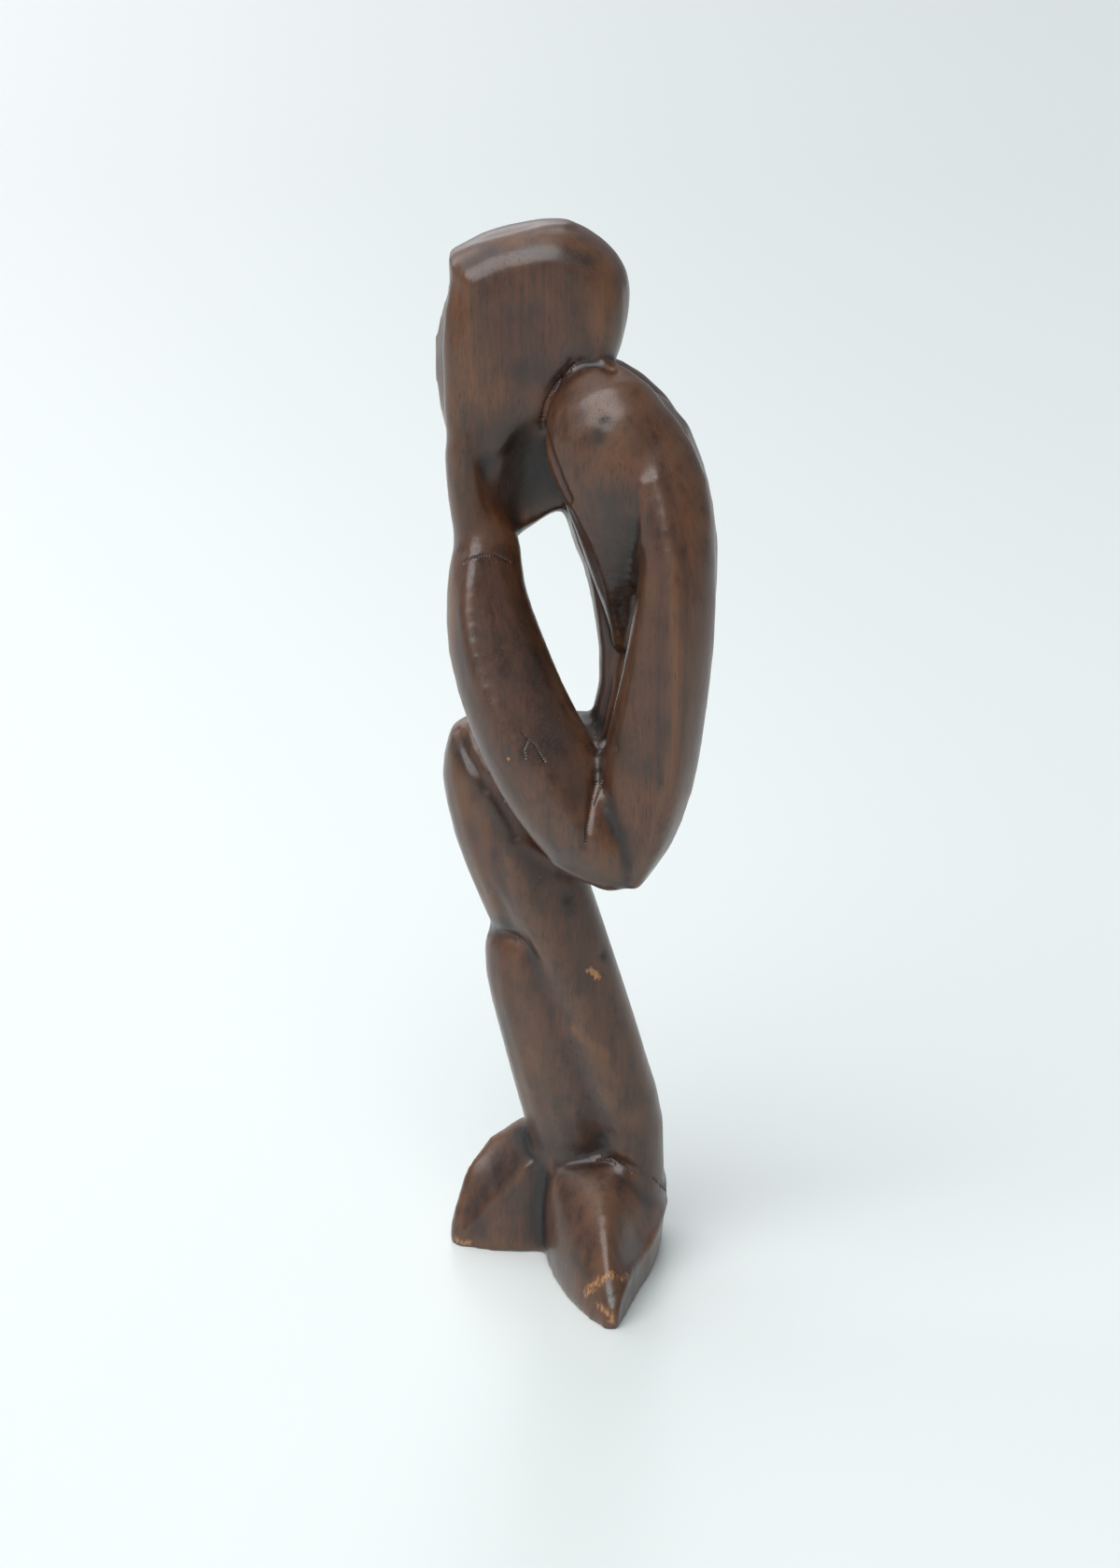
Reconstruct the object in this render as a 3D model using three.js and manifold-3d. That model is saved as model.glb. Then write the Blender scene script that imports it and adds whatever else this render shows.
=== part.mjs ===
import * as THREE from "three";
import { mergeVertices } from "three/addons/utils/BufferGeometryUtils.js";
import Module from "manifold-3d";

// A hand-carved wooden figure of a squatting thinker, about 296 mm tall and cut from one block.
// It faces -X with its head bowed on its hands, +Z is up, and its near side is at -Y.
// The blank head rests on two wrists, each arm makes an open loop from shoulder to elbow to chin,
// the knees are drawn up to the elbows, and the feet stand at a right angle on flat soles.

const wasm = await Module();
wasm.setup();

// driving dimensions, mm
const headTop = 295.4;
const headHalfThickness = 17;
const shoulderSpread = 18;
const elbowSpread = 30;
const wristSpread = 9;
const elbowTip = 122;
const farElbowDrop = 17;
const kneeTop = 165;
const legNotch = 102;
const ankleHeight = 36;

const depthAxis = new THREE.Vector3(0, 1, 0);
const upAxis = new THREE.Vector3(0, 0, 1);

// Each round cuts the corners of a closed outline, so more rounds leave it smoother.
// A key may carry a cut of its own as a third number: a small one keeps that corner crisp.
const softCut = 0.25;
function rounded(keys, rounds = 2) {
  let points = keys;
  for (let round = 0; round < rounds; round += 1) {
    points = points.flatMap(([u, v, cut = softCut], i) => {
      const [nextU, nextV, nextCut = softCut] = points[(i + 1) % points.length];
      return [
        [u + (nextU - u) * cut, v + (nextV - v) * cut, cut],
        [nextU - (nextU - u) * nextCut, nextV - (nextV - v) * nextCut, nextCut],
      ];
    });
  }
  return points;
}

// A smooth run of one number per station, read at any place from 0 to 1.
function track(values) {
  const curve = new THREE.SplineCurve(values.map((value, i) => new THREE.Vector2(i, value)));
  return (t) => curve.getPoint(t).y;
}

// A closed solid through rings that all have the same number of points, with a fan over each end.
function skin(rings) {
  const count = rings[0].length;
  const positions = rings.flat().flatMap((p) => p.toArray());
  const middle = (ring) => ring.reduce((sum, p) => sum.add(p), new THREE.Vector3()).divideScalar(count);
  positions.push(...middle(rings[0]).toArray(), ...middle(rings.at(-1)).toArray());
  const startCentre = rings.length * count;
  const endCentre = startCentre + 1;
  const faces = [];
  for (let i = 0; i < count; i += 1) {
    const j = (i + 1) % count;
    for (let r = 0; r + 1 < rings.length; r += 1) {
      const a = r * count + i;
      const b = r * count + j;
      faces.push(a, b, b + count, a, b + count, a + count);
    }
    const last = (rings.length - 1) * count;
    faces.push(startCentre, j, i, endCentre, last + i, last + j);
  }
  const geometry = new THREE.BufferGeometry();
  geometry.setAttribute("position", new THREE.Float32BufferAttribute(positions, 3));
  geometry.setIndex(faces);
  return geometry;
}

// A carved limb: sections of half width w and half depth h carried along a path, closed by rounded ends.
// A station is [x, y, z, w, h, ...shape], and section(...shape) gives the outline for a half size of 1.
function limb(stations, section, { steps = 3, depth = depthAxis, capStart = 0.5, capEnd = 0.5 } = {}) {
  const tracks = stations[0].map((_, column) => track(stations.map((row) => row[column])));
  const spans = (stations.length - 1) * steps;
  const at = (t) => tracks.map((read) => read(THREE.MathUtils.clamp(t, 0, 1)));
  const place = (t) => new THREE.Vector3(...at(t).slice(0, 3));
  const ringAt = (t, scale = 1, push = 0) => {
    const [x, y, z, w, h, ...shape] = at(t);
    const tangent = place(Math.min(t + 0.01, 1)).sub(place(Math.max(t - 0.01, 0))).normalize();
    const across = new THREE.Vector3().crossVectors(tangent, depth).normalize();
    const inward = new THREE.Vector3().crossVectors(across, tangent).normalize();
    const centre = new THREE.Vector3(x, y, z).addScaledVector(tangent, push * Math.min(w, h));
    return section(...shape).map(([u, v]) =>
      centre.clone().addScaledVector(across, u * w * scale).addScaledVector(inward, v * h * scale),
    );
  };
  const rings = [];
  if (capStart) rings.push(ringAt(0, 0.35, -capStart), ringAt(0, 0.75, -capStart * 0.7));
  for (let i = 0; i <= spans; i += 1) rings.push(ringAt(i / spans));
  if (capEnd) rings.push(ringAt(1, 0.75, capEnd * 0.7), ringAt(1, 0.35, capEnd));
  return skin(rings);
}

// Sections, for a half width and a half depth of 1.
// u runs to the right of a downward path, and v away from the near side.
const ovalPoints = 16;
const oval = () =>
  Array.from({ length: ovalPoints }, (_, i) => {
    const angle = (i / ovalPoints) * 2 * Math.PI;
    return [-Math.cos(angle), -Math.sin(angle)];
  });

// Outer side rounded, a ridge along the front at u = ridge, and a flat inner side from a crisp corner.
const armSection = (inner) => (ridge, corner) =>
  rounded([
    [-1.16 * inner, 0.25],
    [-0.9 * inner, -0.62],
    [ridge, -1.16],
    [1.06 * inner, -corner],
    [1.04 * inner, 0.7],
    [-0.2 * inner, 1.25],
  ]);

// Rounded all over but for a ridge at u = ridge.
const ridgedSection = (ridge) =>
  rounded([[-1.1, 0.3], [-0.95, -0.7], [ridge, -1.12], [1.02, -0.6], [1.05, 0.6], [-0.2, 1.15]]);

function solidOf(geometry) {
  const merged = mergeVertices(geometry, 1e-4);
  const made = new wasm.Manifold(
    new wasm.Mesh({
      numProp: 3,
      vertProperties: new Float32Array(merged.getAttribute("position").array),
      triVerts: new Uint32Array(merged.index.array),
    }),
  );
  if (made.volume() > 0) return made;
  const turned = merged.index.array.slice();
  for (let i = 0; i < turned.length; i += 3) [turned[i + 1], turned[i + 2]] = [turned[i + 2], turned[i + 1]];
  merged.setIndex([...turned]);
  return solidOf(merged);
}

function geometryOf(solid) {
  const mesh = solid.getMesh();
  const geometry = new THREE.BufferGeometry();
  geometry.setAttribute("position", new THREE.Float32BufferAttribute(mesh.vertProperties, 3));
  geometry.setIndex([...mesh.triVerts]);
  return geometry;
}

// The far side is the near side mirrored over the middle of the figure.
const mirrored = (stations) => stations.map(([x, y, ...rest]) => [x, -y, ...rest]);

// The head is a wedge with a broad plane on each side, a rounded crown and a bevel round its rim.
// Its layers run through the thickness, each one the side outline drawn in by the bevel.
const headOutline = [
  [-28.6, 287.2], [-19.5, 292.0], [-9.6, 294.6], [1.5, headTop], [11.0, 290.4], [16.6, 283.6], [18.0, 276.0],
  [16.4, 266.0], [12.4, 256.0], [5.0, 246.5], [-6.0, 239.0], [-17.0, 234.0], [-26.5, 234.5], [-30.2, 242.0],
  [-30.9, 256.0], [-31.0, 272.0],
];
const headMiddle = new THREE.Vector2(-9, 266);
const headLayers = [
  { depth: 1.03, crown: 0, sides: 0, scale: 0.45 },
  { depth: 1.0, crown: 9.5, sides: 5.5 },
  { depth: 0.91, crown: 6, sides: 3 },
  { depth: 0.7, crown: 2.6, sides: 0.9 },
  { depth: 0.4, crown: 0.6, sides: 0.1, hollow: 1.6 },
  { depth: 0.12, crown: 0, sides: 0, hollow: 2.8 },
];
const farCheekFullness = 3.2;

function head() {
  const curve = new THREE.SplineCurve([...headOutline, headOutline[0]].map((p) => new THREE.Vector2(...p)));
  const outline = curve.getPoints(32).slice(0, -1);
  const smooth = THREE.MathUtils.smoothstep;
  const thinning = (z) => THREE.MathUtils.lerp(0.86, 1, smooth(z, 238, 270));
  const layer = ({ depth, crown, sides, scale = 1, hollow = 0 }, side) =>
    outline.map((p) => {
      const inset = THREE.MathUtils.lerp(sides, crown, smooth(p.y, 262, 284));
      const moved = p.clone().addScaledVector(headMiddle.clone().sub(p).normalize(), inset);
      moved.sub(headMiddle).multiplyScalar(scale).add(headMiddle);
      const front = smooth(-p.x, 16, 28);
      const cheek = Math.exp(-(((p.y - 257) / 17) ** 2)) * front;
      moved.x += hollow * front * smooth(p.y, 236, 250) * (1 - smooth(p.y, 276, 288));
      if (side > 0) moved.x -= farCheekFullness * cheek * (1 - Math.abs(depth - 0.7)) * scale;
      return new THREE.Vector3(moved.x, side * depth * headHalfThickness * thinning(moved.y), moved.y);
    });
  const near = headLayers.map((entry) => layer(entry, -1));
  const far = headLayers.map((entry) => layer(entry, 1)).reverse();
  return skin([...near, ...far]);
}

// The neck fills the space from jaw to shoulders, and its lower edge arches over the gap in the arms.
// A round hollow is scooped out of each side of it, up into the jaw, and leaves a web in the middle.
const neck = limb(
  [
    [-22, 0, 235, 30, 12],
    [-16, 0, 235, 28, 13],
    [-10.5, 0, 235, 21.5, 13],
    [-5, 0, 235, 16.4, 13],
    [2, 0, 236.5, 15.1, 13],
    [12, 0, 239, 16, 14],
  ],
  oval,
  { steps: 1 },
);
const jawHollow = { x: -3.5, y: 20.5, z: 222, width: 17.5, depth: 14.5, height: 28 };

function jawScoop(side) {
  const { x, y, z, width, depth, height } = jawHollow;
  const scoop = new THREE.SphereGeometry(1, 18, 12);
  scoop.rotateX(Math.PI / 2);
  scoop.scale(width, depth, height);
  scoop.translate(x, side * y, z);
  scoop.deleteAttribute("normal");
  scoop.deleteAttribute("uv");
  return scoop;
}

const torso = limb(
  [
    [14, 1, 247.5, 11, 20],
    [17.5, 1, 238, 17, 24],
    [20.3, 1, 223, 19.6, 22.5],
    [24.1, 1, 208, 18.3, 17.5],
    [25.2, 0, 190, 15.9, 13.5],
    [23.6, 0, 172, 13.2, 13],
    [21.5, 0, 157, 14.5, 16],
    [18.5, 0, 143, 13.5, 16.5],
    [12, 0, 131, 8, 12],
  ],
  oval,
  { steps: 2 },
);

// Each shoulder narrows downwards to a point beside the waist, with a crisp front edge.
const shoulderStations = [
  [6.5, -10, 256.5, 7.5, 6, 0.2],
  [9.8, -shoulderSpread + 2.5, 249.5, 13.8, 12.8, 0.2],
  [13, -shoulderSpread + 0.5, 240.5, 16.2, 14.8, 0.25],
  [16.2, -shoulderSpread, 228, 14.6, 15.2, 0.2],
  [17.4, -shoulderSpread + 3, 213, 11, 11.5, -0.1],
  [17.8, -11, 199, 7, 7.5, -0.5],
  [17, -9, 186, 2.4, 3.6, -0.6],
];

const upperArmStations = [
  [4, -11, 252, 7, 7, 0, 0.7],
  [11, -15.5, 249.5, 9.6, 11, 0, 0.7],
  [20.4, -19, 240.8, 10.7, 12.3, -0.1, 0.7],
  [27.8, -23.5, 228.5, 9.8, 11.7, -0.35, 0.7],
  [29.9, -28, 212, 9.4, 11.5, -0.25, 0.7],
  [28.6, -elbowSpread - 1, 192, 10.3, 11, 0.1, 0.6],
  [25.7, -elbowSpread - 1, 172, 11.2, 11, 0.3, 0.55],
  [22.6, -elbowSpread - 0.5, 155, 11.7, 11.5, 0.45, 0.5],
  [19, -elbowSpread + 0.5, 139, 10, 11, 0.5, 0.4],
  [17.8, -elbowSpread + 2, elbowTip + 6, 5.2, 7, 0.3, 0.3],
];

const forearmStations = [
  [-23, -8, 250, 4.4, 6.4, 0, 0.5],
  [-24.4, -8.6, 237, 5.2, 7.2, 0, 0.5],
  [-22.9, -wristSpread, 224, 5.8, 7.4, -0.1, 0.5],
  [-19.3, -wristSpread - 1, 213, 8.3, 8.5, -0.25, 0.5],
  [-19.4, -wristSpread - 4.5, 202, 9.7, 10, -0.35, 0.45],
  [-17, -wristSpread - 9, 188, 11.7, 10.8, -0.35, 0.4],
  [-11.2, -23, 172, 12.7, 11, -0.3, 0.4],
  [-4.2, -26.5, 158, 13.2, 11, -0.2, 0.4],
  [3.8, -28.5, 145, 12.4, 11.5, -0.05, 0.4],
  [11.5, -elbowSpread + 1, 135.2, 11.2, 11.5, 0.1, 0.35],
  [16, -elbowSpread + 1, elbowTip + 6.5, 6.6, 8, 0.1, 0.3],
];

const mirroredSection = (section) => (...shape) => section(...shape).map(([u, v]) => [u, -v]);

// The far arm hangs a little lower than the near one and is a little slimmer.
const farSlimness = 0.92;
function farArm(stations) {
  return mirrored(stations).map(([x, y, z, w, ...rest]) => {
    const drop = farElbowDrop * (1 - THREE.MathUtils.smoothstep(z, elbowTip + 40, 232));
    return [x, y, z - drop, w * farSlimness, ...rest];
  });
}

const farShoulderDrop = 3.5;
const farShoulder = mirrored(shoulderStations).map(([x, y, z, w, ...rest]) => [
  x, y, z - farShoulderDrop, w * farSlimness, ...rest,
]);

const arms = [
  limb(upperArmStations, armSection(-1), { steps: 2 }),
  limb(forearmStations, armSection(1), { steps: 2 }),
  limb(farArm(upperArmStations), mirroredSection(armSection(-1)), { steps: 2 }),
  limb(farArm(forearmStations), mirroredSection(armSection(1)), { steps: 2 }),
];

const hips = limb(
  [
    [22, 0, 149, 11, 13],
    [16, 0, 147, 17, 16.5],
    [7, 0, 146.5, 17.6, 17],
    [-6, 1, 148, 16.6, 15.5],
    [-16, 3, 149, 15.5, 14],
    [-23, 4, 151.5, 12, 10.5],
  ],
  oval,
  { steps: 1 },
);

// Legs pressed together: the far one is a knee and a calf with a notch between, the near one runs straight.
const farKnee = limb(
  [
    [-22.2, 1, kneeTop - 6, 9, 10],
    [-19.6, 0, 150.5, 13.2, 14.5],
    [-14.8, -0.5, 134, 14.8, 15],
    [-9.8, 0.5, 118, 14.3, 15],
    [-6.8, 1, legNotch + 4, 12.8, 13],
  ],
  oval,
  { steps: 2, capEnd: 0.3 },
);
const farCalf = limb(
  [
    [-4, 3, legNotch + 20, 10, 11],
    [-5.4, 2.5, legNotch + 4.5, 11.6, 12.5],
    [-7, 1.5, legNotch - 5, 14.2, 13.5],
    [-5, 1, 86, 15.3, 15],
    [0, 1.5, 70, 16.6, 15],
    [4.6, 3.5, 52, 17, 14],
    [7.2, 7, ankleHeight, 16.5, 12.5],
    [8, 11, 10, 15, 12.5],
  ],
  oval,
  { steps: 2, capEnd: 0.2 },
);
const nearLeg = limb(
  [
    [-10, -4, 150, 11, 9.5, -0.5],
    [-8.7, -5.5, 134, 11.3, 11, -0.5],
    [-4.6, -6, 119, 11.2, 11.5, -0.5],
    [2.6, -5.5, 100, 10.2, 11.5, -0.4],
    [11, -4, 75, 9.4, 11.5, -0.3],
    [16.4, -2.5, 58, 8.9, 11.5, -0.2],
    [20.6, 0, 42, 8.6, 11.8, 0],
    [21.4, 2.5, 10, 8.6, 12, 0],
  ],
  ridgedSection,
  { steps: 2, capEnd: 0.2 },
);

// A pointed foot, broad at the ankle, with a ridge along its top that sharpens towards the toe.
// One side is cut down flat from a crisp edge and leans in by overhang.
// The other side rounds over at its shoulder.
const crispCut = 0.12;
const footSection = (ridge, edge, shoulder, flat, overhang) =>
  rounded([
    [-1.02 + overhang, -0.4], [-1.06, edge, crispCut], [ridge - flat, 1.1],
    [ridge + flat, 1.1], [1.06, shoulder], [1.02, -0.4],
  ]);
const nearFoot = limb(
  [
    [13, 15, 0, 17, 24, 0, 0.8, 0.7, 0.5, 0.05],
    [13, 4, 0, 17.6, 31, 0, 0.77, 0.85, 0.55, 0.15],
    [12.4, -8, 0, 15.7, 30, 0, 0.5, 0.85, 0.5, 0.22],
    [11.8, -18, 0, 12.2, 26, -0.05, 0.36, 0.6, 0.4, 0.12],
    [12.2, -29, 0, 8.3, 20, -0.05, 0.47, 0.45, 0.25, 0.08],
    [13.4, -38, 0, 4.5, 12.5, 0, 0.8, 0.4, 0.15, 0],
    [14, -42.8, 0, 1.8, 6, 0, 0.8, 0.4, 0.1, 0],
  ],
  footSection,
  { steps: 2, depth: upAxis, capEnd: 0.3 },
);
const farFoot = limb(
  [
    [10, 13, 0, 12, 28, -0.2, 0.8, 0.5, 0.3, 0],
    [-2, 13, 0, 12.4, 35, 0, 0.85, 0.5, 0.3, 0],
    [-11, 13, 0, 12.2, 33.5, 0.1, 0.76, 0.4, 0.25, 0],
    [-20, 12, 0, 10.8, 28.3, 0.1, 0.52, 0.35, 0.15, 0],
    [-26.8, 9.5, 0, 7.4, 21, 0, 0.3, 0.35, 0.1, 0],
    [-30.2, 6.5, 0, 3, 10.5, 0, 0.3, 0.4, 0.1, 0],
  ],
  footSection,
  { steps: 1, depth: upAxis, capEnd: 0.3 },
);

const groundSpan = 200;
const groundDepth = 60;
const below = new THREE.BoxGeometry(groundSpan, groundSpan, groundDepth).toNonIndexed();
below.deleteAttribute("normal");
below.deleteAttribute("uv");
below.translate(0, 0, -groundDepth / 2);

const headAndNeck = solidOf(head())
  .add(solidOf(neck))
  .subtract(solidOf(jawScoop(-1)))
  .subtract(solidOf(jawScoop(1)));
const forms = [
  torso,
  limb(shoulderStations, ridgedSection, { steps: 2 }),
  limb(farShoulder, mirroredSection(ridgedSection), { steps: 2 }),
  ...arms,
  hips,
  farKnee,
  farCalf,
  nearLeg,
  nearFoot,
  farFoot,
];
const carving = forms
  .map(solidOf)
  .reduce((whole, form) => whole.add(form), headAndNeck)
  .subtract(solidOf(below));

const carvedGeometry = geometryOf(carving);
carvedGeometry.computeBoundingBox();
const middle = carvedGeometry.boundingBox.getCenter(new THREE.Vector3());

const darkWaxedWood = new THREE.MeshStandardMaterial({ color: 0x4a2a1b, roughness: 0.42, metalness: 0 });
const carvedFigure = new THREE.Mesh(carvedGeometry, darkWaxedWood);
carvedFigure.name = "thinker_figure";

const figure = new THREE.Group();
figure.name = "wooden_thinker_sculpture";
figure.add(carvedFigure);
figure.position.set(-middle.x, -middle.y, 0);

export default figure;
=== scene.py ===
import math

import bpy
import numpy as np
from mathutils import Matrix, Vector, noise
from mathutils.bvhtree import BVHTree
from mathutils.kdtree import KDTree


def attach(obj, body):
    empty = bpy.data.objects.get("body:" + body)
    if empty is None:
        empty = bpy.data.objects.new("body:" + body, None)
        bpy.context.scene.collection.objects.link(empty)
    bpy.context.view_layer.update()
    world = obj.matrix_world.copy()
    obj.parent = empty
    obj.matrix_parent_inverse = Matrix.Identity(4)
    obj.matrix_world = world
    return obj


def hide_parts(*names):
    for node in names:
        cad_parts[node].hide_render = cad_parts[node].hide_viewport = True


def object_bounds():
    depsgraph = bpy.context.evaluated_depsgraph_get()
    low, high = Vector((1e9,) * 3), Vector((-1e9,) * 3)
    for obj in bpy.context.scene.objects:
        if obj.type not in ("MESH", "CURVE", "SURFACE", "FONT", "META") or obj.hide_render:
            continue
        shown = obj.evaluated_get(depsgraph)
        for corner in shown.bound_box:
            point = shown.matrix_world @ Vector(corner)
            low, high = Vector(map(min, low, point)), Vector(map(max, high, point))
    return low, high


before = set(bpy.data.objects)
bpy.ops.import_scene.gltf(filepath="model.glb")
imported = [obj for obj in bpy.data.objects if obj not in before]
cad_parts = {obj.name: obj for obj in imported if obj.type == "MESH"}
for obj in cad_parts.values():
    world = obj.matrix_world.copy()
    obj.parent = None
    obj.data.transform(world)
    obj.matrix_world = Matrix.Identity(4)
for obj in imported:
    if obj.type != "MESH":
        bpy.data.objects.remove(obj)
cadBox = [list(corner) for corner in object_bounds()]
bpy.ops.object.select_all(action="DESELECT")

mm = 0.001
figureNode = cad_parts["thinker_figure"]

# The camera stands where the photograph was taken from, on the figure's near side.
cameraView = {
    "place": (-4.46 * mm, -649.5 * mm, 350 * mm),
    "pitch": 72.4,
    "lens": 57.09,
    "sensor": 36,
    "photoSize": (1200, 1680),
}


def addCamera():
    data = bpy.data.cameras.new("photoCamera")
    data.lens = cameraView["lens"]
    data.sensor_width = cameraView["sensor"]
    camera = bpy.data.objects.new("photoCamera", data)
    camera.location = cameraView["place"]
    camera.rotation_euler = (math.radians(cameraView["pitch"]), 0, 0)
    bpy.context.scene.collection.objects.link(camera)
    bpy.context.scene.camera = camera
    bpy.context.view_layer.update()
    return camera


camera = addCamera()
print("camera placed")


# A photo pixel as a ray from the camera.
def photoRay(px, py):
    width, height = cameraView["photoSize"]
    focal = cameraView["lens"] / cameraView["sensor"] * height
    direction = Vector(((px - width / 2) / focal, (height / 2 - py) / focal, -1))
    turned = camera.matrix_world.to_3x3() @ direction.normalized()
    return Vector(cameraView["place"]), turned


# The carved block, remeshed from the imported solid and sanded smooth.
carving = {
    "voxel": 1.24 * mm,
    "sanding": 34,
    "swell": 0.53,  # a little more than each smoothing step, so the girth stays
    "lineStep": 2.5,  # photo pixels between the points of a carved line
}


def copyOfNode(name):
    made = figureNode.copy()
    made.data = figureNode.data.copy()
    made.name = name
    made.parent = None
    for key in list(made.keys()):
        del made[key]
    bpy.context.scene.collection.objects.link(made)
    bpy.ops.object.select_all(action="DESELECT")
    made.select_set(True)
    bpy.context.view_layer.objects.active = made
    bpy.ops.object.mode_set(mode="EDIT")
    bpy.ops.mesh.select_all(action="SELECT")
    bpy.ops.mesh.remove_doubles(threshold=0.002 * mm)
    bpy.ops.object.mode_set(mode="OBJECT")
    return made


def remesh(piece, size):
    modifier = piece.modifiers.new("voxels", "REMESH")
    modifier.mode = "VOXEL"
    modifier.voxel_size = size
    modifier.use_smooth_shade = True
    bpy.context.view_layer.objects.active = piece
    bpy.ops.object.modifier_apply(modifier=modifier.name)


def pointsOf(mesh):
    flat = np.empty(len(mesh.vertices) * 3, dtype=np.float32)
    mesh.vertices.foreach_get("co", flat)
    return flat.reshape(-1, 3).astype(float)


def normalsOf(mesh):
    flat = np.empty(len(mesh.vertices) * 3, dtype=np.float32)
    mesh.vertices.foreach_get("normal", flat)
    return flat.reshape(-1, 3).astype(float)


def edgesOf(mesh):
    flat = np.empty(len(mesh.edges) * 2, dtype=np.int32)
    mesh.edges.foreach_get("vertices", flat)
    return flat.reshape(-1, 2)


def setPoints(mesh, points):
    mesh.vertices.foreach_set("co", points.astype(np.float32).ravel())
    mesh.update()


def neighbourMean(values, edges):
    count = len(values)
    first, second = edges[:, 0], edges[:, 1]
    degree = np.bincount(first, minlength=count) + np.bincount(second, minlength=count)
    columns = [
        np.bincount(first, values[second, k], count) + np.bincount(second, values[first, k], count)
        for k in range(values.shape[1])
    ]
    return np.stack(columns, 1) / degree[:, None]


def sand(points, edges, passes, weight=1.0):
    weight = np.asarray(weight).reshape(-1, 1)
    for _ in range(passes):
        for step in (0.5, -carving["swell"]):
            points = points + step * weight * (neighbourMean(points, edges) - points)
    return points


def blurred(values, edges, passes):
    for _ in range(passes):
        values = values + 0.5 * (neighbourMean(values, edges) - values)
    return values


def falloff(distance, reach):
    t = np.clip(1 - distance / reach, 0, 1)
    return t * t * (3 - 2 * t)


# The carving block as it is now, for rays and for distances.
class Surface:
    def __init__(self, piece):
        self.piece = piece
        self.refresh()

    def refresh(self):
        mesh = self.piece.data
        self.points = pointsOf(mesh)
        self.normals = normalsOf(mesh)
        self.edges = edgesOf(mesh)

    def apply(self, points):
        setPoints(self.piece.data, points)
        self.points = points
        self.normals = normalsOf(self.piece.data)

    def tree(self):
        mesh = self.piece.data
        corners = [tuple(face.vertices) for face in mesh.polygons]
        return BVHTree.FromPolygons(self.points.tolist(), corners)


# Photo pixels laid on the surface as a run of points.
def laidOn(tree, pixels):
    found = []
    for (x0, y0), (x1, y1) in zip(pixels, pixels[1:] or pixels):
        steps = max(1, int(math.hypot(x1 - x0, y1 - y0) / carving["lineStep"]))
        for i in range(steps + 1):
            t = i / steps
            place, direction = photoRay(x0 + (x1 - x0) * t, y0 + (y1 - y0) * t)
            hit = tree.ray_cast(place, direction)[0]
            if hit is not None:
                found.append(hit)
    return found


def distanceTo(points, run, reach):
    tree = KDTree(len(run))
    for i, place in enumerate(run):
        tree.insert(place, i)
    tree.balance()
    low = np.min([tuple(p) for p in run], axis=0) - reach
    high = np.max([tuple(p) for p in run], axis=0) + reach
    near = np.where(np.all((points > low) & (points < high), axis=1))[0]
    distance = np.full(len(points), np.inf)
    for i in near:
        distance[i] = tree.find(points[i])[2]
    return distance


def refineNear(surface, runs, reach):
    distance = np.full(len(surface.points), np.inf)
    for run in runs:
        distance = np.minimum(distance, distanceTo(surface.points, run, reach))
    close = distance < reach
    mesh = surface.piece.data
    bpy.ops.object.mode_set(mode="EDIT")
    bpy.ops.mesh.select_mode(type="FACE")
    bpy.ops.mesh.select_all(action="DESELECT")
    bpy.ops.object.mode_set(mode="OBJECT")
    chosen = [all(close[v] for v in face.vertices) for face in mesh.polygons]
    mesh.polygons.foreach_set("select", chosen)
    bpy.ops.object.mode_set(mode="EDIT")
    bpy.ops.mesh.subdivide(number_cuts=1, smoothness=0, ngon=False)
    bpy.ops.object.mode_set(mode="OBJECT")
    surface.refresh()
    distance = np.full(len(surface.points), np.inf)
    for run in runs:
        distance = np.minimum(distance, distanceTo(surface.points, run, reach))
    surface.apply(sand(surface.points, surface.edges, 5, falloff(distance, reach * 1.2) > 0))


thinker = copyOfNode("carvedThinker")
remesh(thinker, carving["voxel"])
block = Surface(thinker)
block.apply(sand(block.points, block.edges, carving["sanding"]))
print("carving", len(thinker.data.vertices), "points", len(thinker.data.polygons), "faces")

# Coves where one form runs softly into the next, as centre and radius in mm of the figure's own frame.
coves = {
    "jawHollow": [((-14, -13, 240), 16), ((-14, 13, 240), 16), ((-18, -9, 226), 12), ((-18, 9, 226), 12)],
    "legFold": [((-3, -15, 92), 12), ((1, -14, 76), 12), ((5, -13, 62), 12), ((10, -11, 48), 12)],
    "kneeFold": [((-18, -14, 125), 12), ((-15, -14, 112), 12)],
    "ankle": [((8, -14, 34), 13), ((22, -12, 32), 10), ((-6, 0, 34), 12)],
    "armPit": [((22, -24, 226), 11), ((22, 24, 222), 11)],
    "back": [((36, -14, 225), 14), ((36, 14, 225), 14), ((30, 0, 247), 14), ((30, -14, 190), 12)],
    "seat": [((22, 0, 130), 18), ((14, 0, 118), 14)],
    "face": [((-26, 0, 232), 14), ((-22, 0, 222), 12)],
    "heel": [((20, 12, 30), 14), ((4, 20, 30), 14)],
}
coveFill = {"passes": 60, "rate": 0.5}


def fillCoves(surface):
    weight = np.zeros(len(surface.points))
    for places in coves.values():
        for centre, radius in places:
            distance = np.linalg.norm(surface.points - np.array(centre) * mm, axis=1)
            weight = np.maximum(weight, falloff(distance, radius * mm))
    points = surface.points
    for _ in range(coveFill["passes"]):
        pull = neighbourMean(points, surface.edges) - points
        outward = np.sum(pull * surface.normals, axis=1)
        gain = np.clip(outward, 0, None)[:, None] * surface.normals
        points = points + coveFill["rate"] * weight[:, None] * gain
    surface.apply(points)
    surface.apply(sand(surface.points, surface.edges, 10, weight))


fillCoves(block)
print("coves filled")

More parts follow.
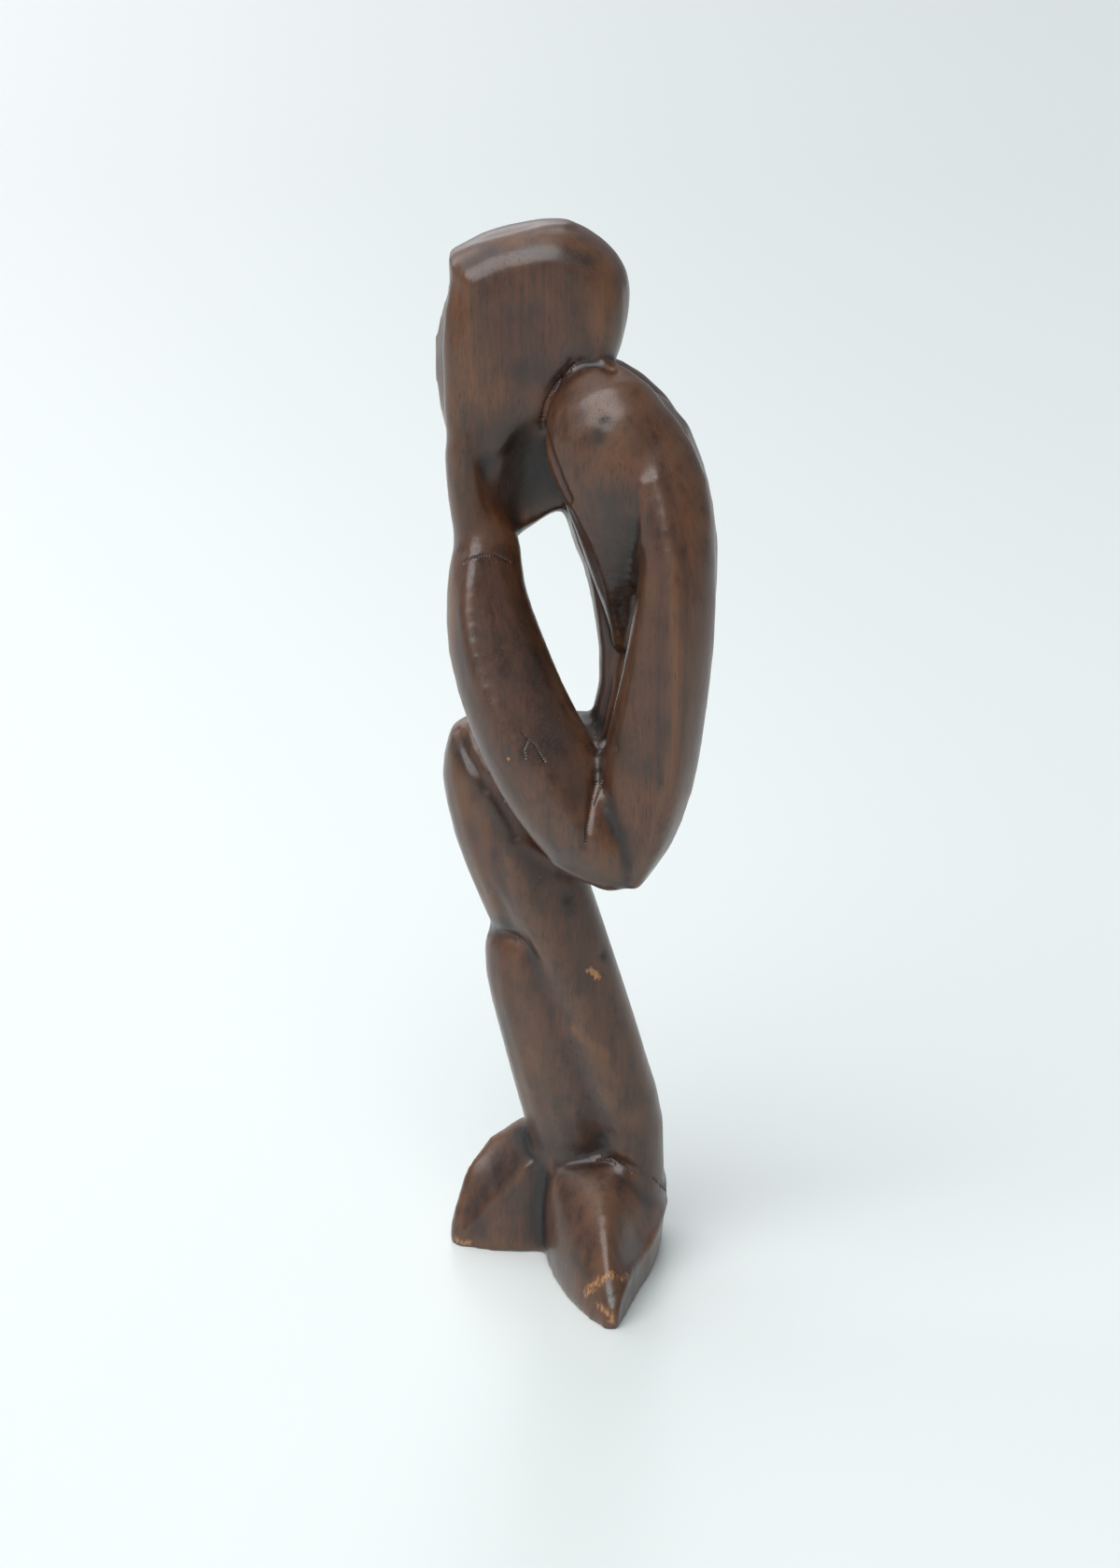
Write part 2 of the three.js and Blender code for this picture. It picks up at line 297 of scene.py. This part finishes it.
# Crisp edges that catch the light, as photo pixels, with the width and the rise in mm.
ridges = {
    "armRidge": ([(704, 515), (714, 560), (719, 600), (722, 650), (723, 700), (722, 780), (716, 830),
                  (706, 872), (692, 920), (680, 948)], 2.2, 0.75),
    "forearmRidge": ([(507, 600), (498, 660), (510, 725), (545, 791), (575, 822), (602, 860), (624, 898)], 2.6, 0.5),
    "breastEdge": ([(613, 540), (635, 583), (650, 629), (657, 660), (660, 690)], 1.6, 0.5),
    "innerArm": ([(690, 520), (690, 545), (688, 576), (683, 600), (676, 640), (669, 687), (661, 735),
                  (653, 770), (645, 800)], 1.6, 0.5),
    "bevelEdge": ([(525, 854), (555, 901), (588, 922), (631, 943), (660, 951)], 1.8, 0.4),
    "thighRidge": ([(520, 895), (531, 940), (549, 972), (560, 1003)], 2.4, 0.35),
    "nearToe": ([(715, 1274), (713, 1290), (706, 1314), (694, 1339), (676, 1364), (664, 1392), (657, 1418)], 1.7, 0.6),
    "farToe": ([(568, 1247), (552, 1264), (536, 1280), (516, 1301), (500, 1318)], 1.7, 0.6),
    "crownEdge": ([(486, 272), (505, 264), (530, 257), (560, 249), (590, 242), (612, 240)], 1.5, 0.35),
    "crownBand": ([(500, 297), (522, 285), (547, 279), (589, 281), (631, 291)], 3.2, 0.2),
}

# Creases and cut lines, as photo pixels, with the width and the depth in mm.
creases = {
    "shoulderCrease": ([(655, 396), (640, 390), (625, 389), (612, 394), (600, 405), (590, 420), (583, 440),
                        (583, 455), (590, 485), (600, 512), (610, 536)], 1.3, 0.75),
    "elbowCrease": ([(640, 828), (636, 848), (632, 870), (628, 893), (626, 906)], 1.2, 0.8),
    "kneeGroove": ([(490, 781), (500, 808), (516, 834), (535, 864), (553, 895)], 1.6, 0.7),
    "notchLine": ([(522, 1002), (532, 1000), (545, 1002), (556, 1006)], 1.5, 0.6),
    "legFoldLine": ([(583, 1055), (603, 1113), (624, 1164), (652, 1213)], 3.2, 0.35),
    "ankleLine": ([(596, 1247), (625, 1244), (660, 1244), (690, 1257), (713, 1271)], 1.5, 0.55),
    "bevelCrease": ([(545, 895), (575, 918), (600, 934), (640, 951)], 1.6, 0.2),
}


def carveLines(surface, table, sign):
    tree = surface.tree()
    points = surface.points.copy()
    for pixels, width, height in table.values():
        run = laidOn(tree, pixels)
        if not run:
            continue
        distance = distanceTo(surface.points, run, 2.4 * width * mm)
        lift = np.exp(-((distance / (width * mm)) ** 2)) * height * mm
        points = points + sign * lift[:, None] * surface.normals
    surface.apply(points)


tree = block.tree()
refineNear(block, [laidOn(tree, row[0]) for row in (*ridges.values(), *creases.values())], 3.2 * mm)
carveLines(block, ridges, 1)
carveLines(block, creases, -1)
print("edges and creases", len(thinker.data.polygons), "faces")

# Fine cracks, as photo pixels, with the width and the depth in mm.
cracks = {
    "shoulderCrack": ([(615, 390), (606, 400), (597, 409), (590, 420), (584, 432), (581, 447)], 0.3, 0.5),
    "shoulderSplit": ([(611, 398), (603, 404), (596, 417), (588, 427)], 0.25, 0.35),
    "wristCrack": ([(497, 603), (506, 597), (518, 595), (530, 594), (538, 598), (546, 602)], 0.3, 0.4),
    "forearmCrack": ([(559, 784), (566, 792), (573, 797), (578, 806), (583, 815)], 0.28, 0.4),
    "forearmSplit": ([(566, 792), (561, 803), (563, 812)], 0.25, 0.3),
    "elbowCrack": ([(638, 838), (634, 856), (631, 872), (628, 888), (627, 902)], 0.28, 0.5),
    "elbowSplit": ([(646, 836), (641, 850), (637, 862)], 0.25, 0.3),
    "legCrack": ([(578, 941), (574, 950), (571, 958), (569, 967)], 0.28, 0.35),
    "notchCrack": ([(556, 1006), (563, 1016), (568, 1028)], 0.25, 0.3),
    "ankleCrack": ([(640, 1243), (655, 1241), (668, 1249), (676, 1256)], 0.3, 0.4),
    "footCrack": ([(700, 1262), (708, 1270), (714, 1276)], 0.3, 0.4),
}

# Knots, pits and bruises, as a photo pixel, with the radius and the depth in mm.
dents = {
    "shoulderKnot": ((648, 453), 1.9, 0.5),
    "shoulderBruise": ((640, 474), 2.4, 0.25),
    "elbowKnot": ((660, 802), 1.5, 0.3),
    "elbowKnotLow": ((678, 816), 1.2, 0.3),
    "thighKnot": ((607, 961), 1.4, 0.4),
    "calfKnot": ((645, 1022), 1.7, 0.4),
    "calfScar": ((637, 1044), 2.8, 0.3),
    "shinPit": ((654, 1150), 0.9, 0.3),
    "shinPitTop": ((652, 1098), 0.7, 0.25),
    "ankleKnot": ((675, 1217), 1.6, 0.3),
    "footPock": ((667, 1275), 1.2, 0.5),
    "headDent": ((612, 386), 1.6, 0.3),
    "wristPit": ((544, 814), 0.8, 0.3),
    "palmPit": ((583, 741), 1.0, 0.2),
}


def carveDents(surface):
    tree = surface.tree()
    points = surface.points.copy()
    for pixel, radius, depth in dents.values():
        place = laidOn(tree, [pixel])[0]
        distance = distanceTo(surface.points, [place], 2.2 * radius * mm)
        dip = np.exp(-((distance / (0.7 * radius * mm)) ** 2)) * depth * mm
        points = points - dip[:, None] * surface.normals
    surface.apply(points)


tree = block.tree()
crackRuns = [laidOn(tree, row[0]) for row in cracks.values()]
refineNear(block, crackRuns, 1.9 * mm)
refineNear(block, crackRuns, 1.0 * mm)
carveDents(block)
carveLines(block, cracks, -1)
print("cracks and knots", len(thinker.data.polygons), "faces")

# The hand-held blade leaves the planes a little uneven, longer along the grain than across it.
unevenness = {
    "broad": (0.055, 0.02, 0.16),  # waves per mm across, waves per mm along, height in mm
    "fine": (0.3, 0.06, 0.05),
    "toeWear": ((640, 1385), 9, 0.22),
    "footPits": ((672, 1318), 11, 0.16),
}


def unevenSurface(surface):
    shift = np.zeros(len(surface.points))
    inMm = surface.points / mm
    for name in ("broad", "fine"):
        across, along, height = unevenness[name]
        shift += [height * noise.noise((x * across, y * across, z * along)) for x, y, z in inMm]
    tree = surface.tree()
    for name in ("toeWear", "footPits"):
        pixel, radius, height = unevenness[name]
        distance = distanceTo(surface.points, laidOn(tree, [pixel]), radius * mm)
        for i in np.where(distance < radius * mm)[0]:
            part = 1 - distance[i] / (radius * mm)
            shift[i] += height * part * (noise.noise(inMm[i] * 0.9) + 0.5 * noise.noise(inMm[i] * 1.9))
    surface.apply(surface.points + shift[:, None] * mm * surface.normals)


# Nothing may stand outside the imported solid's box, and the soles stay flat on the ground.
def keepInBox(surface):
    low, high = np.array(cadBox[0]), np.array(cadBox[1])
    surface.apply(np.clip(surface.points, low, high))


unevenSurface(block)
keepInBox(block)
print("surface finished")

# Stained, rubbed and faded places, with painted shade and painted highlights among them: photo pixels, reach in mm and
# strength, laid as soft strokes.
stainsAndPaintedLight = {
    "amber": [
        ([(492, 300), (494, 345), (500, 390), (508, 425)], 3.6, 0.8),
        ([(515, 395), (530, 420), (522, 445)], 4.5, 0.5),
        ([(650, 285), (652, 315), (645, 350)], 4.0, 0.7),
        ([(630, 300), (632, 340)], 3.0, 0.3),
        ([(540, 262), (590, 256), (640, 268)], 2.6, 0.3),
        # Painted highlight: the light streak down the arm's ridge.
        ([(722, 600), (726, 700), (725, 790), (716, 850)], 1.5, 0.8),
        ([(740, 560), (745, 680), (738, 800), (722, 880)], 3.4, 0.35),
        ([(483, 655), (482, 720), (494, 780)], 2.6, 0.75),
        ([(488, 830), (496, 870)], 2.6, 0.5),
        ([(640, 870), (650, 905), (662, 930)], 4.5, 0.3),
        ([(655, 1000), (668, 1060), (684, 1120), (694, 1160)], 2.2, 0.6),
        ([(615, 1103), (630, 1118), (650, 1132)], 1.7, 1.0),
        ([(648, 1140), (655, 1153), (661, 1158)], 1.2, 0.9),
        ([(572, 985), (580, 1020), (592, 1060), (606, 1110)], 1.6, 0.35),
        # Painted highlight: a light strip along the near toe's crisp edge.
        ([(714, 1290), (706, 1318), (690, 1345)], 1.3, 0.7),
        ([(640, 850), (652, 880)], 2.5, 0.4),
    ],
    "red": [
        ([(520, 330), (535, 400), (545, 430)], 6, 0.4),
        ([(560, 410), (590, 440)], 5, 0.3),
        ([(608, 470), (630, 500), (655, 505), (680, 520)], 3.6, 0.7),
        ([(672, 430), (690, 445)], 3.6, 0.6),
        ([(700, 620), (698, 700), (690, 790)], 4, 0.5),
        ([(660, 830), (690, 850)], 4, 0.4),
        ([(530, 1018), (540, 1030), (536, 1080)], 3, 0.7),
        ([(490, 860), (510, 930)], 4, 0.4),
        ([(640, 975), (655, 1040)], 3.2, 0.5),
        ([(600, 1290), (605, 1340), (620, 1380)], 4, 0.4),
        ([(540, 1290), (560, 1310)], 4, 0.4),
    ],
    "knotsAndShade": [
        # Painted shade: the dark band across the crown, the crease under the head, the hollow under the chin, the
        # chest under the arm, the forearm's inner plane, the groove beside the forearm, the notch under the knee,
        # under the ankle ledge and down the near foot's left side; the strokes on knots are the wood's own dark marks.
        ([(500, 285), (520, 272), (560, 268), (600, 272), (630, 280)], 2.2, 0.5),
        ([(560, 400), (585, 395), (600, 410)], 3.2, 0.5),
        ([(545, 470), (560, 500), (580, 520)], 9, 0.85),
        ([(648, 452), (640, 470)], 2.6, 0.9),
        ([(655, 540), (665, 600), (662, 650)], 6, 0.8),
        ([(560, 650), (575, 720), (600, 790), (615, 850)], 4.5, 0.6),
        ([(500, 470), (500, 560)], 4, 0.45),
        ([(488, 800), (520, 850), (550, 900), (575, 940)], 2.8, 0.6),
        ([(660, 790), (672, 815), (690, 830)], 4, 0.5),
        ([(520, 985), (545, 992), (553, 1000)], 2.8, 0.9),
        ([(607, 960), (612, 975)], 2.2, 0.8),
        ([(645, 1020), (652, 1026)], 2.2, 0.8),
        ([(580, 1225), (610, 1235), (650, 1235)], 4.5, 0.6),
        ([(676, 1215), (690, 1245)], 3.2, 0.45),
        ([(585, 1265), (580, 1300), (588, 1335)], 3.6, 0.7),
        ([(560, 1215), (572, 1240)], 3, 0.8),
        ([(617, 1350), (627, 1365)], 2.2, 0.6),
    ],
    "tan": [
        ([(632, 1040), (640, 1046)], 1.5, 0.9),
        ([(628, 1385), (642, 1372), (655, 1366)], 2.0, 0.65),
        ([(640, 1398), (652, 1408), (656, 1415)], 1.7, 0.6),
        ([(665, 1370), (672, 1366)], 1.5, 0.5),
        ([(488, 1328), (495, 1332), (503, 1332)], 1.5, 0.6),
        ([(545, 813), (548, 816)], 0.6, 0.8),
        ([(541, 858)], 0.5, 0.7),
        ([(583, 741)], 0.8, 0.4),
        ([(650, 450)], 0.5, 0.5),
    ],
    "grey": [
        ([(652, 1378), (656, 1396)], 1.8, 0.8),
        ([(660, 802)], 1.2, 0.6),
        ([(678, 815)], 1.0, 0.6),
        # Painted sheen on the surface seen through the arm loop.
        ([(665, 640), (667, 668)], 2.2, 0.5),
        ([(668, 1305), (680, 1330), (668, 1345)], 4.0, 0.3),
        ([(667, 1275)], 1.2, 0.5),
    ],
}
reliefScale = {"blur": 26, "height": 0.45 * mm}


def writeLayer(mesh, name, values):
    layer = mesh.attributes.new(name, "FLOAT", "POINT")
    layer.data.foreach_set("value", np.clip(values, 0, 1).astype(np.float32))


def layStainsAndPaintedLight(surface):
    mesh = surface.piece.data
    tree = surface.tree()
    for name, strokes in stainsAndPaintedLight.items():
        total = np.zeros(len(surface.points))
        for pixels, reach, strength in strokes:
            run = laidOn(tree, pixels)
            if run:
                distance = distanceTo(surface.points, run, 1.6 * reach * mm)
                total = np.maximum(total, strength * falloff(distance, 1.6 * reach * mm))
        writeLayer(mesh, name, total)
    # Raised places get the wear layer, a lighter rubbed tone; sunken places get the hollow layer, painted shade in
    # hollows and creases, which also roughens them.
    smooth = blurred(surface.points, surface.edges, reliefScale["blur"])
    lift = np.sum((surface.points - smooth) * surface.normals, axis=1) / reliefScale["height"]
    lift = blurred(lift[:, None], surface.edges, 2)[:, 0]
    writeLayer(mesh, "wear", lift)
    writeLayer(mesh, "hollowShade", -lift)


layStainsAndPaintedLight(block)
print("stains laid")


# Waxed wood, with painted shade and painted highlights laid into the colour.
waxedWood = {
    "brown": (0.036, 0.0165, 0.0095),
    "red": (0.075, 0.024, 0.011),
    "amber": (0.17, 0.062, 0.017),
    # deep is the dark grain tone and also the colour of the painted shade.
    "deep": (0.007, 0.0048, 0.0038),
    "tan": (0.36, 0.17, 0.065),
    "grey": (0.075, 0.068, 0.058),
    "rubbed": (0.11, 0.05, 0.022),
    "coat": 0.35,
    "coatRoughness": 0.22,
}


class NodeBench:
    def __init__(self, material):
        material.use_nodes = True
        self.nodes = material.node_tree.nodes
        self.links = material.node_tree.links
        self.shader = self.nodes["Principled BSDF"]

    def add(self, kind, **values):
        made = self.nodes.new(kind)
        for name, value in values.items():
            setattr(made, name, value)
        return made

    def feed(self, value, socket):
        if hasattr(value, "is_output"):
            self.links.new(value, socket)
        else:
            socket.default_value = value

    def stretched(self, vector, scale):
        made = self.add("ShaderNodeMapping")
        made.inputs["Scale"].default_value = scale
        self.feed(vector, made.inputs["Vector"])
        return made.outputs["Vector"]

    def speckle(self, vector, scale, detail=2, roughness=0.5):
        made = self.add("ShaderNodeTexNoise")
        made.inputs["Scale"].default_value = 1
        made.inputs["Detail"].default_value = detail
        made.inputs["Roughness"].default_value = roughness
        self.feed(self.stretched(vector, scale), made.inputs["Vector"])
        return made.outputs["Fac"]

    def ranged(self, value, low, high, toLow=0.0, toHigh=1.0):
        made = self.add("ShaderNodeMapRange")
        for name, number in (("From Min", low), ("From Max", high), ("To Min", toLow), ("To Max", toHigh)):
            made.inputs[name].default_value = number
        self.feed(value, made.inputs["Value"])
        return made.outputs["Result"]

    def maths(self, operation, first, second):
        made = self.add("ShaderNodeMath", operation=operation)
        self.feed(first, made.inputs[0])
        self.feed(second, made.inputs[1])
        return made.outputs["Value"]

    def layer(self, name):
        return self.add("ShaderNodeAttribute", attribute_name=name).outputs["Fac"]

    def blend(self, amount, below, above):
        made = self.add("ShaderNodeMix", data_type="RGBA")
        self.feed(amount, made.inputs["Factor"])
        for value, socket in ((below, made.inputs[6]), (above, made.inputs[7])):
            self.feed((*value, 1) if isinstance(value, tuple) else value, socket)
        return made.outputs[2]


def woodMaterial():
    material = bpy.data.materials.new("waxedWood")
    bench = NodeBench(material)
    place = bench.add("ShaderNodeTexCoord").outputs["Object"]
    inMm = bench.stretched(place, (1000, 1000, 1000))
    streaks = bench.speckle(inMm, (0.9, 0.9, 0.035), 4, 0.6)
    patches = bench.speckle(inMm, (0.055, 0.055, 0.028), 3, 0.6)
    cloudy = bench.speckle(inMm, (0.22, 0.22, 0.12), 5, 0.65)
    pores = bench.ranged(bench.speckle(inMm, (3.4, 3.4, 0.2), 2, 0.55), 0.6, 0.7)
    porePatch = bench.ranged(bench.speckle(inMm, (0.12, 0.12, 0.05), 2), 0.4, 0.6, 0.35, 1)
    pores = bench.maths("MULTIPLY", pores, porePatch)
    speck = bench.ranged(bench.speckle(inMm, (1.1, 1.1, 0.9), 3, 0.7), 0.68, 0.74)

    colour = bench.blend(bench.ranged(streaks, 0.36, 0.66), waxedWood["brown"], waxedWood["red"])
    colour = bench.blend(bench.ranged(patches, 0.52, 0.72, 0, 0.5), colour, waxedWood["amber"])
    colour = bench.blend(bench.ranged(patches, 0.47, 0.3, 0, 0.65), colour, waxedWood["deep"])
    colour = bench.blend(bench.ranged(cloudy, 0.5, 0.3, 0, 0.55), colour, waxedWood["deep"])
    streaky = bench.ranged(streaks, 0.3, 0.62, 0.35, 1)
    for name, strength in (("red", 0.85), ("amber", 0.9)):
        amount = bench.maths("MULTIPLY", bench.layer(name), bench.maths("MULTIPLY", streaky, strength))
        colour = bench.blend(amount, colour, waxedWood[name])
    wear = bench.maths("MULTIPLY", bench.layer("wear"), bench.ranged(cloudy, 0.35, 0.6, 0.25, 0.8))
    colour = bench.blend(wear, colour, waxedWood["rubbed"])
    # Painted shade: the dark strokes (creases, hollows and shaded planes, besides a few real knots) and every hollow
    # darken towards the deep tone.
    colour = bench.blend(bench.maths("MULTIPLY", bench.layer("knotsAndShade"), 0.9), colour, waxedWood["deep"])
    colour = bench.blend(bench.ranged(bench.layer("hollowShade"), 0.05, 0.9, 0, 0.9), colour, waxedWood["deep"])
    broken = bench.ranged(bench.speckle(inMm, (1.3, 1.3, 0.5), 4, 0.7), 0.42, 0.56)
    for name in ("tan", "grey"):
        edge = bench.maths("ADD", bench.layer(name), bench.maths("MULTIPLY", broken, 0.35))
        colour = bench.blend(bench.ranged(edge, 0.55, 0.95), colour, waxedWood[name])
    colour = bench.blend(bench.maths("MULTIPLY", pores, 0.75), colour, waxedWood["deep"])
    colour = bench.blend(bench.maths("MULTIPLY", speck, 0.35), colour, waxedWood["amber"])
    bench.feed(colour, bench.shader.inputs["Base Color"])

    rough = bench.ranged(cloudy, 0.3, 0.7, 0.3, 0.46)
    rough = bench.maths("ADD", rough, bench.maths("MULTIPLY", bench.layer("hollowShade"), 0.2))
    rough = bench.maths("ADD", rough, bench.maths("MULTIPLY", bench.layer("tan"), 0.25))
    bench.feed(rough, bench.shader.inputs["Roughness"])
    relief = bench.maths("SUBTRACT", bench.maths("MULTIPLY", streaks, 0.35), pores)
    bump = bench.add("ShaderNodeBump")
    bump.inputs["Strength"].default_value = 0.5
    bump.inputs["Distance"].default_value = 0.12 * mm
    bench.feed(relief, bump.inputs["Height"])
    bench.feed(bump.outputs["Normal"], bench.shader.inputs["Normal"])
    bench.shader.inputs["Coat Weight"].default_value = waxedWood["coat"]
    bench.shader.inputs["Coat Roughness"].default_value = waxedWood["coatRoughness"]
    return material


thinker.data.materials.clear()
thinker.data.materials.append(woodMaterial())
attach(thinker, "root")
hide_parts("thinker_figure")
print("wood finished")


# Floor and studio light; the floor runs on past the top of the picture.
studio = {
    "floorSize": 1200,
    "floorColour": (0.7, 0.74, 0.73),
    "floorRoughness": 0.34,
    "skyColour": (0.84, 0.92, 1.0),
    "skyStrength": 0.3,
    "keySun": ((38, 0, -28), 3.0, 62),  # turn in degrees, strength, angle of the soft disc
    "backSun": ((-48, 0, 30), 1.3, 70),
}


def addStudio():
    bpy.ops.mesh.primitive_plane_add(size=studio["floorSize"], location=(0, 0, 0))
    floor = bpy.context.active_object
    floor.name = "studioFloor"
    material = bpy.data.materials.new("paleFloor")
    material.use_nodes = True
    shader = material.node_tree.nodes["Principled BSDF"]
    shader.inputs["Base Color"].default_value = (*studio["floorColour"], 1)
    shader.inputs["Roughness"].default_value = studio["floorRoughness"]
    floor.data.materials.append(material)
    world = bpy.data.worlds.new("studioWorld")
    world.use_nodes = True
    background = world.node_tree.nodes["Background"]
    background.inputs["Color"].default_value = (*studio["skyColour"], 1)
    background.inputs["Strength"].default_value = studio["skyStrength"]
    bpy.context.scene.world = world


def addSun(name):
    turn, strength, angle = studio[name]
    data = bpy.data.lights.new(name, "SUN")
    data.energy = strength
    data.angle = math.radians(angle)
    light = bpy.data.objects.new(name, data)
    light.rotation_euler = [math.radians(a) for a in turn]
    bpy.context.scene.collection.objects.link(light)


addStudio()
addSun("keySun")
addSun("backSun")
bpy.context.scene.view_settings.view_transform = "Standard"
print("studio set")
